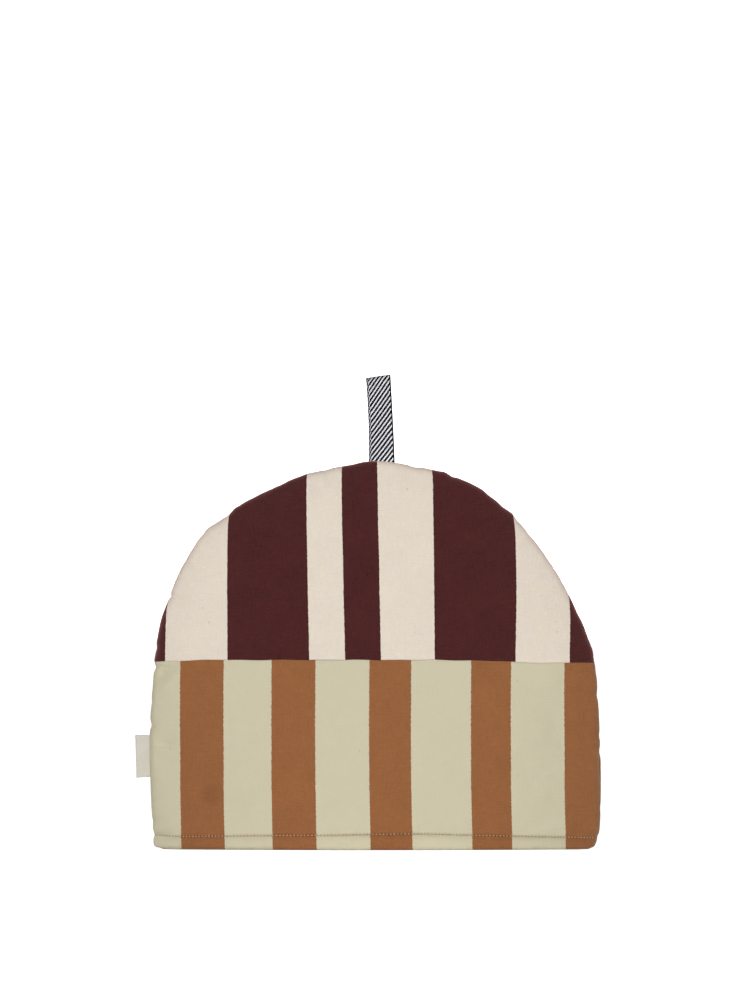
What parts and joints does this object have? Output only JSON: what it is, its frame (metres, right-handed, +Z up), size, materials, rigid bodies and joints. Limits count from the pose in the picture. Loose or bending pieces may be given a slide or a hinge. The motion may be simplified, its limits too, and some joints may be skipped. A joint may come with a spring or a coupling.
{
  "type": "tea cosy",
  "caption": "Padded striped tea cosy with a domed top and a deep band, open at the hem, with a folded tape loop on top and a small tab in the side seam.",
  "frame": {"origin": "middle of the whole part's footprint, on the plane the hem rests on", "axes": "+Z up from the hem to the loop; -Y out of the front; +X to the right of someone who looks at the front, away from the side tab"},
  "size_m": [0.3101, 0.1062, 0.3167],
  "materials": {
    "dome_cloth": "plain-woven cotton in upright burgundy and cream stripes, matt",
    "band_cloth": "plain-woven cotton in upright sage and brown stripes, matt",
    "loop_tape": "cotton twill tape with fine black and white diagonal ribs",
    "label_tape": "off-white woven tape, bare"
  },
  "bodies": {
    "root": {"front_upper_panel": "dome_cloth", "back_upper_panel": "dome_cloth", "front_lower_band": "band_cloth", "back_lower_band": "band_cloth", "hanging_loop": "loop_tape", "side_label": "label_tape"}
  },
  "joints": []
}
